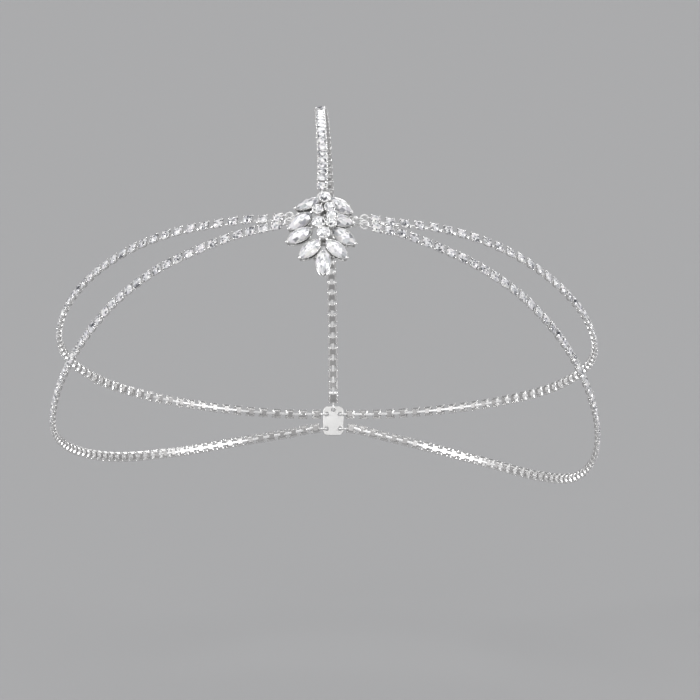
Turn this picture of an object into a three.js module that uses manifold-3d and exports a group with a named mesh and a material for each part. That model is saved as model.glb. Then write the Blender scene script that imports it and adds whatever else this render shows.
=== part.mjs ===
// A rhinestone head chain worn as a tiara: a leaf-spray ornament at the hairline, two cup-chain strands on each
// side of the head, one strand over the crown, and a plain plate that joins the five strands at the back.
// Millimetres, +Z up, the wearer faces -Y. The origin is where the crown strand rests on the top of the head.
import * as THREE from "three";
import { mergeVertices } from "three/addons/utils/BufferGeometryUtils.js";
import Module from "manifold-3d";

const wasm = await Module();
wasm.setup();

// ---- driving dimensions ----

const chain = { width: 2.9, thickness: 1.7, chamfer: 0.4, step: 8.5 };

// The rounded form on which the centre lines of the strands lie, half a chain's thickness off the head.
const form = { halfWidth: 78.8, halfLength: 95.8, height: 84.8, power: 2.13 };
const formCentreZ = chain.thickness / 2 - form.height;

const ring = { radius: 1.12, wire: 0.27, sides: 6, segments: 14 };
// An eye of wire: `seat` is how far its centre lies past the end of its tube, `sink` how far inside the plate's edge.
const frontEye = { radius: 0.7, wire: 0.25, seat: 0.67 };
const backEye = { radius: 1.0, wire: 0.28, sink: 0.22 };
const eyeSides = 6;
const eyeSegments = 12;

// The ornament lies in a plane that leans back with the hairline; its own axes are across, up and out.
const ornament = { x: 1.2, y: -75.1, z: -29.85, leanDeg: 42 };

// Heights above the back of the ornament.
const level = {
  frameTop: 1.2,
  petalBase: 1.0,
  petalRim: 2.7,
  petalGirdle: 2.9,
  petalTable: 3.55,
  stoneBase: 3.7,
  stoneRim: 5.0,
  stoneGirdle: 5.12,
  stoneTable: 5.65,
  crestRing: 0.5,
  upperRing: 0.1,
  lowerRing: 0.8,
};

// Leaf-shaped stones: centre across and up, the direction in which the outer tip points, and the roll about the
// leaf's length.
const petal = { length: 8.3, width: 4.2, taper: 0.55, wall: 0.12, floor: 0.3, tiltDeg: 4, segments: 40 };
const petals = [
  { name: "petal_bottom", across: 0.2, up: -11.4, pointsDeg: -90, rollDeg: 0 },
  { name: "petal_low_left", across: -3.4, up: -7.0, pointsDeg: -133, rollDeg: 0 },
  { name: "petal_low_right", across: 3.6, up: -7.0, pointsDeg: -46, rollDeg: 0 },
  { name: "petal_side_left", across: -6.25, up: -2.45, pointsDeg: -147, rollDeg: 0 },
  { name: "petal_side_right", across: 5.4, up: -2.75, pointsDeg: -39, rollDeg: 0 },
  { name: "petal_high_left", across: -6.2, up: 2.38, pointsDeg: -140, rollDeg: 0 },
  { name: "petal_high_right", across: 4.1, up: 2.75, pointsDeg: -14, rollDeg: 0 },
  { name: "petal_top_left", across: -3.95, up: 8.2, pointsDeg: -157, rollDeg: 20 },
  { name: "petal_top_right", across: 4.25, up: 7.6, pointsDeg: -35, rollDeg: 0 },
];

// Round stones of the upper tier. Three of them stand on posts, and solder wires join the rest to those.
const rounds = [
  { name: "round_crest", across: 0.3, up: 8.9, radius: 1.65, post: true },
  { name: "round_high_left", across: -1.6, up: 4.85, radius: 1.5, post: false },
  { name: "round_high_right", across: 1.65, up: 5.6, radius: 1.5, post: false },
  { name: "round_mid_right", across: 2.4, up: 3.0, radius: 1.55, post: false },
  { name: "round_low_right", across: 2.2, up: 0.35, radius: 1.45, post: false },
  { name: "round_mid_left", across: -1.2, up: 0.6, radius: 1.8, post: true },
  { name: "round_foot", across: 0.1, up: -2.95, radius: 1.82, post: true },
];
const roundSegments = 14;
const postRadius = 0.45;

// Soldered wires between cups of the upper tier, by their ends.
const wires = [
  { from: "round_crest", to: "round_high_right" },
  { from: "round_crest", to: "round_high_left" },
  { from: "round_high_left", to: "round_high_right" },
  { from: "round_high_right", to: "round_mid_right" },
  { from: "round_mid_right", to: "round_low_right" },
  { from: "round_low_right", to: "round_mid_left" },
  { from: "round_mid_left", to: "round_high_left" },
  { from: "round_mid_left", to: "round_foot" },
];
const wireRadius = 0.35;

// Frame behind the stones: a spine, and a flat rib out to the middle of each leaf. The lowest leaf has no rib of
// its own, and hangs between its two neighbours.
const spine = { halfWidth: 0.9, low: -3.9, high: 10.9 };
const ribWidth = 0.8;
const bottomRibs = ["petal_low_left", "petal_low_right"];

// The two rings of a side face forward, the upper one farther back. Each holds an eye of the ornament at its inner
// side, and the eye of its strand at its outer side, a little above the middle on the upper ring and a little below
// it on the lower one. The strands leave them with a slight fall.
const tabs = {
  left: { side: -1, ringAcross: 9.2, up: 4.7 },
  right: { side: 1, ringAcross: 10.8, up: 3.9 },
};
const tabArm = { pair: 1.2, width: 0.8, length: 1.5, crossbarWidth: 0.7 };
const sideLink = { faceDeg: 30, turnDeg: 8, eyeDeg: 18, fallDeg: 11 };
const crestRing = { across: -0.6, up: 12.6 };

// Plate at the back of the head, and the holes where the strands hook on.
const plate = { drop: 102, halfWidth: 3.2, halfHeight: 4.6, corner: 1.4, thickness: 0.9, holeRadius: 0.65 };
const plateHoles = [
  { name: "left_upper", across: 2.1, up: 2.1 },
  { name: "left_lower", across: 2.1, up: -2.5 },
  { name: "right_upper", across: -2.1, up: 2.1 },
  { name: "right_lower", across: -2.1, up: -2.5 },
  { name: "crown", across: 0, up: 3.5 },
];

// Routes of the side strands: the turn from the front in degrees, and how far each side's strand lies below the
// top of the form. Left is -X. Route of the crown strand: the arc from front (0) to back (180), and its X.
const lowerRoute = [
  { turn: 20, left: 31.0, right: 30.6 },
  { turn: 30, left: 35.5, right: 35.0 },
  { turn: 40, left: 41.4, right: 41.1 },
  { turn: 50, left: 50.5, right: 49.9 },
  { turn: 60, left: 62.9, right: 62.2 },
  { turn: 70, left: 75.8, right: 76.4 },
  { turn: 80, left: 87.2, right: 89.3 },
  { turn: 92, left: 95.5, right: 101.5 },
  { turn: 106, left: 102.5, right: 110.0 },
  { turn: 122, left: 107.5, right: 113.0 },
  { turn: 140, left: 109.0, right: 112.0 },
  { turn: 158, left: 107.5, right: 108.8 },
  { turn: 171, left: 105.4, right: 105.6 },
];
const upperRoute = [
  { turn: 20, left: 27.4, right: 28.1 },
  { turn: 30, left: 29.2, right: 29.6 },
  { turn: 40, left: 31.7, right: 32.5 },
  { turn: 50, left: 35.8, right: 37.1 },
  { turn: 60, left: 41.8, right: 43.6 },
  { turn: 70, left: 49.3, right: 51.7 },
  { turn: 80, left: 57.6, right: 60.1 },
  { turn: 92, left: 67.0, right: 69.2 },
  { turn: 106, left: 76.5, right: 78.0 },
  { turn: 122, left: 85.5, right: 86.4 },
  { turn: 140, left: 93.0, right: 93.4 },
  { turn: 158, left: 98.0, right: 98.1 },
  { turn: 171, left: 99.8, right: 99.8 },
];
const crownRoute = [
  { arc: 58, side: 0.4 },
  { arc: 68, side: -0.3 },
  { arc: 78, side: -1.0 },
  { arc: 90, side: -1.6 },
  { arc: 105, side: -1.6 },
  { arc: 120, side: -1.3 },
  { arc: 135, side: -1.0 },
  { arc: 150, side: -0.7 },
  { arc: 165, side: -0.4 },
  { arc: 180, side: -0.1 },
  { arc: 186, side: 0 },
];

const silver = new THREE.MeshStandardMaterial({ color: 0xd4d5d8, roughness: 0.22, metalness: 1.0 });
const crystal = new THREE.MeshStandardMaterial({ color: 0xf2f4f7, roughness: 0.04, metalness: 0.0 });

// ---- solids ----

const rad = THREE.MathUtils.degToRad;

function toSolid(geometry, matrix = new THREE.Matrix4()) {
  const bare = (geometry.index ? geometry.toNonIndexed() : geometry.clone()).applyMatrix4(matrix);
  bare.deleteAttribute("normal");
  bare.deleteAttribute("uv");
  const merged = mergeVertices(bare, 1e-4);
  return new wasm.Manifold(
    new wasm.Mesh({
      numProp: 3,
      vertProperties: merged.attributes.position.array,
      triVerts: new Uint32Array(merged.index.array),
    }),
  );
}

function toGeometry(solid) {
  const mesh = solid.getMesh();
  const geometry = new THREE.BufferGeometry();
  geometry.setAttribute("position", new THREE.BufferAttribute(mesh.vertProperties, 3));
  geometry.setIndex(new THREE.BufferAttribute(mesh.triVerts, 1));
  geometry.computeVertexNormals();
  return geometry;
}

const join = (solids) => solids.reduce((sum, solid) => sum.add(solid));
const at = (x, y, z) => new THREE.Matrix4().makeTranslation(x, y, z);

function named(name, geometry, material) {
  const mesh = new THREE.Mesh(geometry, material);
  mesh.name = name;
  return mesh;
}

// A round bar between two points.
function bar(from, to, radius, sides = 8) {
  const length = from.distanceTo(to);
  const turn = new THREE.Quaternion().setFromUnitVectors(
    new THREE.Vector3(0, 1, 0),
    to.clone().sub(from).normalize(),
  );
  const middle = from.clone().add(to).multiplyScalar(0.5);
  const matrix = new THREE.Matrix4().compose(middle, turn, new THREE.Vector3(1, 1, 1));
  return toSolid(new THREE.CylinderGeometry(radius, radius, length, sides), matrix);
}

// A ring of wire whose axis points along `axis`.
function wireRing(shape, centre, axis, sides = eyeSides, segments = eyeSegments) {
  const turn = new THREE.Quaternion().setFromUnitVectors(new THREE.Vector3(0, 0, 1), axis);
  const matrix = new THREE.Matrix4().compose(centre, turn, new THREE.Vector3(1, 1, 1));
  return toSolid(new THREE.TorusGeometry(shape.radius, shape.wire, sides, segments), matrix);
}

// ---- the head form ----

function formPoint(turnDeg, drop) {
  const height = form.height - drop;
  const reach = (1 - Math.abs(height / form.height) ** form.power) ** (1 / form.power);
  return new THREE.Vector3(
    form.halfWidth * reach * Math.sin(rad(turnDeg)),
    -form.halfLength * reach * Math.cos(rad(turnDeg)),
    formCentreZ + height,
  );
}

function crownPoint(arcDeg, side) {
  const flat = (value) => Math.sign(value) * Math.abs(value) ** (2 / form.power);
  return new THREE.Vector3(
    side,
    -form.halfLength * flat(Math.cos(rad(arcDeg))),
    formCentreZ + form.height * flat(Math.sin(rad(arcDeg))),
  );
}

function formNormal(point) {
  const x = point.x / form.halfWidth;
  const y = point.y / form.halfLength;
  const z = (point.z - formCentreZ) / form.height;
  const reach = Math.hypot(x, y);
  const level = reach ** (form.power - 2);
  return new THREE.Vector3(
    (level * x) / form.halfWidth,
    (level * y) / form.halfLength,
    (Math.sign(z) * Math.abs(z) ** (form.power - 1)) / form.height,
  ).normalize();
}

// A strand's route, whose cross-section always keeps its stones turned away from the head.
class StrandRoute extends THREE.CatmullRomCurve3 {
  computeFrenetFrames(segments) {
    const tangents = [];
    const normals = [];
    const binormals = [];
    for (let i = 0; i <= segments; i++) {
      const tangent = this.getTangentAt(i / segments);
      const normal = formNormal(this.getPointAt(i / segments));
      normal.addScaledVector(tangent, -normal.dot(tangent)).normalize();
      tangents.push(tangent);
      normals.push(normal);
      binormals.push(new THREE.Vector3().crossVectors(tangent, normal));
    }
    return { tangents, normals, binormals };
  }
}

function chainSection() {
  const { width, thickness, chamfer } = chain;
  const [t, w] = [thickness / 2, width / 2];
  return new THREE.Shape(
    [
      [t - chamfer, w],
      [-t + chamfer, w],
      [-t, w - chamfer],
      [-t, -w + chamfer],
      [-t + chamfer, -w],
      [t - chamfer, -w],
      [t, -w + chamfer],
      [t, w - chamfer],
    ].map(([x, y]) => new THREE.Vector2(x, y)),
  );
}

// A strand is one tube with an eye at each end, whose wire sinks into the tube's end face.
function strand(name, front, middle, back) {
  const points = [...front.points, ...middle, ...back.points];
  const route = new StrandRoute(points);
  route.arcLengthDivisions = 1000;
  const steps = Math.round(route.getLength() / chain.step);
  const tube = new THREE.ExtrudeGeometry(chainSection(), { steps, bevelEnabled: false, extrudePath: route });
  const solid = join([
    toSolid(tube),
    wireRing(frontEye, front.eye, front.axis),
    wireRing(backEye, back.eye, back.axis),
  ]);
  return named(name, toGeometry(solid), silver);
}

// ---- stones and cups ----

// A leaf outline between two levels, drawn in from the full outline by `lowInset` and `highInset`.
function leaf(low, high, lowInset, highInset) {
  const arc = (petal.length ** 2 + petal.width ** 2) / (4 * petal.width);
  const offset = arc - petal.width / 2;
  const cone = (side) => {
    const geometry = new THREE.CylinderGeometry(arc - highInset, arc - lowInset, high - low, petal.segments);
    geometry.rotateX(Math.PI / 2);
    return toSolid(geometry, at(0, side * offset, (low + high) / 2));
  };
  return cone(1).intersect(cone(-1));
}

function petalMatrix({ across, up, pointsDeg, rollDeg }) {
  return new THREE.Matrix4()
    .makeTranslation(across, up, 0)
    .multiply(new THREE.Matrix4().makeRotationZ(rad(pointsDeg)))
    .multiply(at(0, 0, level.petalGirdle))
    .multiply(new THREE.Matrix4().makeRotationY(rad(petal.tiltDeg)))
    .multiply(new THREE.Matrix4().makeRotationX(rad(rollDeg)))
    .multiply(at(0, 0, -level.petalGirdle));
}

function petalCup() {
  const outside = leaf(level.petalBase, level.petalRim, petal.taper, 0);
  const inside = leaf(
    level.petalBase + petal.floor,
    level.petalRim + 0.01,
    petal.taper + petal.wall,
    petal.wall,
  );
  return outside.subtract(inside);
}

function petalStone() {
  const gap = 0.12;
  const girdleInset = petal.wall + gap;
  const pavilion = leaf(
    level.petalBase + petal.floor + gap,
    level.petalRim,
    petal.taper + petal.wall + gap,
    girdleInset,
  );
  const girdle = leaf(level.petalRim, level.petalGirdle, girdleInset, girdleInset);
  const crown = leaf(level.petalGirdle, level.petalTable, girdleInset, petal.taper + girdleInset);
  return join([pavilion, girdle, crown]);
}

function lathe(profile) {
  const geometry = new THREE.LatheGeometry(
    profile.map(([r, z]) => new THREE.Vector2(r, z)),
    roundSegments,
  );
  return geometry.rotateX(Math.PI / 2);
}

function roundCup(radius) {
  const wall = 0.12;
  return lathe([
    [0, level.stoneBase],
    [radius - 0.35, level.stoneBase],
    [radius, level.stoneRim],
    [radius - wall, level.stoneRim],
    [radius - 0.7, level.stoneBase + 0.3],
    [0, level.stoneBase + 0.3],
  ]);
}

function roundStone(radius) {
  const girdle = radius - 0.22;
  return lathe([
    [0, level.stoneBase + 0.5],
    [girdle, level.stoneRim],
    [girdle, level.stoneGirdle],
    [0.6 * girdle, level.stoneTable],
    [0, level.stoneTable],
  ]);
}

const moved = (solid, matrix) => toSolid(toGeometry(solid), matrix);

// ---- the ornament ----

function rib(to, from = nearestOnSpine(to)) {
  const along = new THREE.Vector2(to.across - from.across, to.up - from.up);
  const geometry = new THREE.BoxGeometry(along.length(), ribWidth, level.frameTop);
  geometry.rotateZ(along.angle());
  return toSolid(geometry, at(from.across + along.x / 2, from.up + along.y / 2, level.frameTop / 2));
}

function nearestOnSpine({ up }) {
  const { low, high, halfWidth } = spine;
  return { across: 0, up: THREE.MathUtils.clamp(up, low + halfWidth, high - halfWidth) };
}

function spineBar() {
  const shape = new THREE.Shape();
  shape.absarc(0, spine.high - spine.halfWidth, spine.halfWidth, 0, Math.PI);
  shape.absarc(0, spine.low + spine.halfWidth, spine.halfWidth, Math.PI, 2 * Math.PI);
  const options = { depth: level.frameTop, bevelEnabled: false, curveSegments: 8 };
  return toSolid(new THREE.ExtrudeGeometry(shape, options));
}

// Where a side ring lies. `sign` is 1 for the upper ring and -1 for the lower.
function linkMatrix({ side, ringAcross, up }, sign) {
  const height = sign > 0 ? level.upperRing : level.lowerRing;
  return new THREE.Matrix4()
    .makeTranslation(side * ringAcross, up + sign * tabArm.pair, height)
    .multiply(new THREE.Matrix4().makeRotationY(rad(side * sideLink.turnDeg)))
    .multiply(new THREE.Matrix4().makeRotationX(rad(sideLink.faceDeg)));
}

// A rib out to a crossbar, and an arm from its each end to the eye that holds a ring.
function sideTab(tab) {
  const armEnd = tab.ringAcross - ring.radius - frontEye.radius;
  const barAcross = armEnd - tabArm.length;
  const crossbar = new THREE.BoxGeometry(tabArm.crossbarWidth, 2 * tabArm.pair + tabArm.width, level.frameTop);
  const parts = [1, -1].flatMap((sign) => {
    const matrix = linkMatrix(tab, sign);
    const centre = new THREE.Vector3(-tab.side * ring.radius, 0, 0).applyMatrix4(matrix);
    const arm = new THREE.BoxGeometry(tabArm.length, tabArm.width, level.frameTop);
    const armAcross = tab.side * (armEnd - tabArm.length / 2);
    return [
      wireRing(frontEye, centre, new THREE.Vector3(0, 1, 0).transformDirection(matrix)),
      toSolid(arm, at(armAcross, tab.up + sign * tabArm.pair, level.frameTop / 2)),
    ];
  });
  return join([
    rib({ across: tab.side * barAcross, up: tab.up }),
    toSolid(crossbar, at(tab.side * barAcross, tab.up, level.frameTop / 2)),
    ...parts,
  ]);
}

function crestEye() {
  const centre = new THREE.Vector3(crestRing.across, crestRing.up - ring.radius, level.crestRing);
  return wireRing(frontEye, centre, new THREE.Vector3(1, 0, 0));
}

function setting() {
  const cup = petalCup();
  const leafNamed = (name) => petals.find((spec) => spec.name === name);
  const [bottom, ...others] = petals;
  const place = (name) => {
    const found = rounds.find((stone) => stone.name === name);
    return new THREE.Vector3(found.across, found.up, level.stoneBase + 0.5);
  };
  const posts = rounds
    .filter((stone) => stone.post)
    .map(({ across, up }) =>
      bar(
        new THREE.Vector3(across, up, level.frameTop / 2),
        new THREE.Vector3(across, up, level.stoneBase + 0.15),
        postRadius,
      ),
    );
  const solders = wires.map(({ from, to }) => bar(place(from), place(to), wireRadius, 6));
  const metal = join([
    spineBar(),
    ...others.map((spec) => rib(spec)),
    ...bottomRibs.map((name) => rib(bottom, leafNamed(name))),
    sideTab(tabs.left),
    sideTab(tabs.right),
    crestEye(),
    ...petals.map((spec) => moved(cup, petalMatrix(spec))),
    ...posts,
    ...solders,
    ...rounds.map(({ across, up, radius }) => toSolid(roundCup(radius), at(across, up, 0))),
  ]);
  return metal.subtract(cavities());
}

// Free space for every stone, so that no rib, post or wire reaches into it.
function cavities() {
  const clear = 0.1;
  const leafSpace = leaf(
    level.petalBase + petal.floor,
    level.petalTable + clear,
    petal.taper + petal.wall,
    petal.wall - 0.02,
  );
  const roundSpace = ({ across, up, radius }) =>
    toSolid(
      lathe([
        [0, level.stoneBase + 0.3],
        [radius - 0.7, level.stoneBase + 0.3],
        [radius - 0.12, level.stoneRim],
        [radius - 0.12, level.stoneTable + clear],
        [0, level.stoneTable + clear],
      ]),
      at(across, up, 0),
    );
  return join([
    ...petals.map((spec) => moved(leafSpace, petalMatrix(spec))),
    ...rounds.map(roundSpace),
  ]);
}

function makeOrnament() {
  const group = new THREE.Group();
  group.position.set(ornament.x, ornament.y, ornament.z);
  group.rotation.x = rad(90 - ornament.leanDeg);
  group.add(named("ornament_setting", toGeometry(setting()), silver));
  const leafStone = petalStone();
  for (const spec of petals) {
    group.add(named(spec.name, toGeometry(moved(leafStone, petalMatrix(spec))), crystal));
  }
  for (const { name, across, up, radius } of rounds) {
    const stone = named(name, roundStone(radius), crystal);
    stone.position.set(across, up, 0);
    group.add(stone);
  }
  for (const [sideName, tab] of Object.entries(tabs)) {
    for (const [tier, sign] of [["upper", 1], ["lower", -1]]) {
      const link = named(`ring_${sideName}_${tier}`, jumpRing(), silver);
      link.applyMatrix4(linkMatrix(tab, sign));
      group.add(link);
    }
  }
  const crest = named("ring_crest", jumpRing(), silver);
  crest.position.set(crestRing.across, crestRing.up, level.crestRing);
  group.add(crest);
  group.updateMatrixWorld(true);
  return group;
}

function jumpRing() {
  return new THREE.TorusGeometry(ring.radius, ring.wire, ring.sides, ring.segments);
}

// ---- the plate at the back ----

function makePlate() {
  const { halfWidth: w, halfHeight: h, corner: c } = plate;
  const shape = new THREE.Shape();
  shape.absarc(w - c, h - c, c, 0, Math.PI / 2);
  shape.absarc(-w + c, h - c, c, Math.PI / 2, Math.PI);
  shape.absarc(-w + c, -h + c, c, Math.PI, 1.5 * Math.PI);
  shape.absarc(w - c, -h + c, c, 1.5 * Math.PI, 2 * Math.PI);
  for (const { across, up } of plateHoles) {
    shape.holes.push(new THREE.Path().absarc(across, up, plate.holeRadius, 0, 2 * Math.PI, true));
  }
  const options = { depth: plate.thickness, bevelEnabled: false, curveSegments: 6 };
  const geometry = new THREE.ExtrudeGeometry(shape, options).translate(0, 0, -plate.thickness / 2);
  const mesh = named("back_plate", geometry, silver);
  const centre = formPoint(180, plate.drop);
  const out = formNormal(centre);
  const across = new THREE.Vector3(-1, 0, 0);
  mesh.applyMatrix4(
    new THREE.Matrix4()
      .makeBasis(across, new THREE.Vector3().crossVectors(out, across), out)
      .setPosition(centre),
  );
  mesh.updateMatrixWorld(true);
  return mesh;
}

// ---- assembly ----

const ornamentGroup = makeOrnament();
const backPlate = makePlate();

// The back end of a strand: the eye in its hole of the plate, where the tube ends, and a point that keeps it straight.
function plateEnd(name) {
  const { across, up } = plateHoles.find((hole) => hole.name === name);
  const edge = across ? new THREE.Vector3(Math.sign(across), 0, 0) : new THREE.Vector3(0, 1, 0);
  const rim = across ? plate.halfWidth : plate.halfHeight;
  const eye = across ? new THREE.Vector3(0, up, 0) : new THREE.Vector3(across, 0, 0);
  eye.addScaledVector(edge, rim - backEye.sink);
  const [lead, end] = [backEye.radius + 3, backEye.radius].map((gap) => eye.clone().addScaledVector(edge, gap));
  const axis = across ? new THREE.Vector3(0, 1, 0) : new THREE.Vector3(1, 0, 0);
  const matrix = backPlate.matrixWorld;
  return {
    eye: eye.applyMatrix4(matrix),
    axis: axis.transformDirection(matrix),
    points: [lead, end].map((point) => point.applyMatrix4(matrix)),
  };
}

// The front end of a strand: its eye on the ring `angle` radians round it, and where the tube starts.
function ringEnd(matrix, angle, away, seat) {
  const eye = new THREE.Vector3(ring.radius * Math.cos(angle), ring.radius * Math.sin(angle), 0);
  const axis = new THREE.Vector3(-Math.sin(angle), Math.cos(angle), 0);
  const world = ornamentGroup.matrixWorld;
  eye.applyMatrix4(matrix).applyMatrix4(world);
  const ahead = away.clone().transformDirection(world);
  return {
    eye,
    axis: axis.transformDirection(matrix).transformDirection(world),
    points: [seat, seat + 3].map((gap) => eye.clone().addScaledVector(ahead, gap)),
  };
}

function sideStrand(sideName, tier, rows) {
  const tab = tabs[sideName];
  const sign = tier === "upper" ? 1 : -1;
  const { turnDeg, eyeDeg, fallDeg } = sideLink;
  const angle = tab.side > 0 ? rad(sign * eyeDeg) : Math.PI - rad(sign * eyeDeg);
  const away = new THREE.Vector3(tab.side * Math.cos(rad(fallDeg)), -Math.sin(rad(fallDeg)), 0);
  away.applyAxisAngle(new THREE.Vector3(0, 1, 0), rad(tab.side * turnDeg));
  const front = ringEnd(linkMatrix(tab, sign), angle, away, frontEye.seat);
  const middle = rows.map((row) => formPoint(tab.side * row.turn, row[sideName]));
  return strand(`strand_${sideName}_${tier}`, front, middle, plateEnd(`${sideName}_${tier}`));
}

function crownStrand() {
  const ringPlace = at(crestRing.across, crestRing.up, level.crestRing);
  const front = ringEnd(ringPlace, Math.PI / 2, new THREE.Vector3(0, 1, 0), frontEye.seat);
  const middle = crownRoute.map(({ arc, side }) => crownPoint(arc, side));
  return strand("strand_crown", front, middle, plateEnd("crown"));
}

const tiara = new THREE.Group();
tiara.add(
  ornamentGroup,
  backPlate,
  sideStrand("left", "upper", upperRoute),
  sideStrand("left", "lower", lowerRoute),
  sideStrand("right", "upper", upperRoute),
  sideStrand("right", "lower", lowerRoute),
  crownStrand(),
);

export default tiara;
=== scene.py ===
import math

import bmesh
import bpy
from mathutils import Matrix, Vector


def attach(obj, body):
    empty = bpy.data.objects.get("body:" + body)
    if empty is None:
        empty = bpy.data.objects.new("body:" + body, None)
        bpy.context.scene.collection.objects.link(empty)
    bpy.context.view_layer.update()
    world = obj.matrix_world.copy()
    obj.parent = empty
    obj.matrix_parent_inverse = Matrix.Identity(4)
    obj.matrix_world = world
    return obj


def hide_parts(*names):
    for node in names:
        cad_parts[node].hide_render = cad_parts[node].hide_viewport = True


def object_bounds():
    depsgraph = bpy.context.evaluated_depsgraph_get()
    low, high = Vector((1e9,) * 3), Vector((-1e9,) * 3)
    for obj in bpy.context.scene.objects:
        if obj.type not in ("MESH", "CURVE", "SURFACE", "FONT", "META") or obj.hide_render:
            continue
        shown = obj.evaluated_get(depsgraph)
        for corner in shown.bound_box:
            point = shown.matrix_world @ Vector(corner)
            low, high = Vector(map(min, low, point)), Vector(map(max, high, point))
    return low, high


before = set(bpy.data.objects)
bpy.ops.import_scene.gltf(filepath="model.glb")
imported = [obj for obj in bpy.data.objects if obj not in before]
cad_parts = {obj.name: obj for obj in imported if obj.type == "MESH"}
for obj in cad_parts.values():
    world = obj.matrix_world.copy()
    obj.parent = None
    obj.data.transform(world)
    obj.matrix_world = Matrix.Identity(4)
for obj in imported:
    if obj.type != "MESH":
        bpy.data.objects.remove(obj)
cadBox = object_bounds()
print("frame loaded")

mm = 0.001

stageLook = {
    "turn": 1.0,                # degrees round the head, towards +X
    "tilt": 6.0,                # degrees above the horizon
    "distance": 1.0,
    "aim": (0.00693, 0.0, -0.06863),
    "lens": 178.05,
    "sensor": 36,
    "reach": (0.01, 500),       # the nearest and farthest that the camera sees
    "floorSize": 300,
    "floorGap": 0.055,          # how far the floor lies below the lowest strand
    "floorColour": (0.43, 0.43, 0.435),
    "worldColour": (0.93, 0.95, 1.0),
    "worldStrength": 0.12,
    "viewing": "Standard",
}

# Soft suns light the object and the whole floor evenly. Turn, height and width are in degrees.
suns = [
    {"name": "overhead", "turn": -10, "height": 72, "strength": 0.68, "width": 40},
    {"name": "front", "turn": -6, "height": 28, "strength": 0.78, "width": 46},
    {"name": "left", "turn": -70, "height": 20, "strength": 1.9, "width": 16},
    {"name": "right", "turn": 70, "height": 18, "strength": 1.7, "width": 24},
    {"name": "rim", "turn": 170, "height": 32, "strength": 0.8, "width": 36},
]


def directionTo(turn, height):
    # Turn 0 is straight in front, and a positive turn goes towards +X.
    turn, height = math.radians(turn), math.radians(height)
    return Vector((math.sin(turn) * math.cos(height), -math.cos(turn) * math.cos(height), math.sin(height)))


def makeStage():
    scene = bpy.context.scene
    back = directionTo(stageLook["turn"], stageLook["tilt"])
    data = bpy.data.cameras.new("camera")
    data.lens = stageLook["lens"]
    data.sensor_width = stageLook["sensor"]
    data.clip_start, data.clip_end = stageLook["reach"]
    camera = bpy.data.objects.new("camera", data)
    camera.location = Vector(stageLook["aim"]) + back * stageLook["distance"]
    camera.rotation_euler = (-back).to_track_quat("-Z", "Y").to_euler()
    scene.collection.objects.link(camera)
    scene.camera = camera
    scene.view_settings.view_transform = stageLook["viewing"]

    for sun in suns:
        light = bpy.data.lights.new(sun["name"], "SUN")
        light.energy = sun["strength"]
        light.angle = math.radians(sun["width"])
        lamp = bpy.data.objects.new(sun["name"], light)
        towards = directionTo(sun["turn"], sun["height"])
        lamp.location = towards
        lamp.rotation_euler = towards.to_track_quat("Z", "Y").to_euler()
        scene.collection.objects.link(lamp)

    world = bpy.data.worlds.new("studio")
    world.use_nodes = True
    background = world.node_tree.nodes["Background"]
    background.inputs["Color"].default_value = (*stageLook["worldColour"], 1)
    background.inputs["Strength"].default_value = stageLook["worldStrength"]
    scene.world = world

    floorZ = cadBox[0].z - stageLook["floorGap"]
    bpy.ops.mesh.primitive_plane_add(size=stageLook["floorSize"], location=(0, 0, floorZ))
    floor = bpy.context.object
    floor.name = "floor"
    paint = bpy.data.materials.new("floorPaint")
    paint.use_nodes = True
    shader = paint.node_tree.nodes["Principled BSDF"]
    shader.inputs["Base Color"].default_value = (*stageLook["floorColour"], 1)
    shader.inputs["Roughness"].default_value = 1.0
    shader.inputs["Specular IOR Level"].default_value = 0.0
    floor.data.materials.append(paint)


makeStage()
print("stage set")


class Socket:
    # One socket of a node tree. Sums and products of sockets add Math nodes.
    def __init__(self, tree, socket=None):
        self.tree, self.socket = tree, socket

    def node(self, kind, settings=None, inputs=None, out=0):
        made = self.tree.nodes.new(kind)
        for name, value in (settings or {}).items():
            if name == "stops":
                setStops(made.color_ramp, value)
            else:
                setattr(made, name, value)
        self.feed(made, inputs or {})
        return Socket(self.tree, made.outputs[out] if made.outputs else None)

    def feed(self, node, inputs):
        for name, value in inputs.items():
            if isinstance(value, Socket):
                self.tree.links.new(value.socket, node.inputs[name])
            else:
                node.inputs[name].default_value = value

    def output(self, name):
        return Socket(self.tree, self.socket.node.outputs[name])

    def maths(self, operation, first, second):
        return self.node("ShaderNodeMath", {"operation": operation}, {0: first, 1: second})

    def __add__(self, other):
        return self.maths("ADD", self, other)

    def __sub__(self, other):
        return self.maths("SUBTRACT", self, other)

    def __rsub__(self, other):
        return self.maths("SUBTRACT", other, self)

    def __mul__(self, other):
        return self.maths("MULTIPLY", self, other)

    __radd__ = __add__
    __rmul__ = __mul__


def setStops(ramp, stops):
    while len(ramp.elements) < len(stops):
        ramp.elements.new(0.5)
    for element, (position, colour) in zip(ramp.elements, stops):
        element.position = position
        element.color = (*colour, 1)


def newMaterial(name):
    material = bpy.data.materials.new(name)
    material.use_nodes = True
    return material, material.node_tree.nodes["Principled BSDF"], Socket(material.node_tree)


def readFloat(start, name):
    return start.node("ShaderNodeAttribute", {"attribute_name": name}, out="Fac")


def noise(start, place, scale, detail):
    return start.node("ShaderNodeTexNoise", {"noise_dimensions": "3D"},
                      {"Vector": place, "Scale": scale, "Detail": detail})


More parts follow.
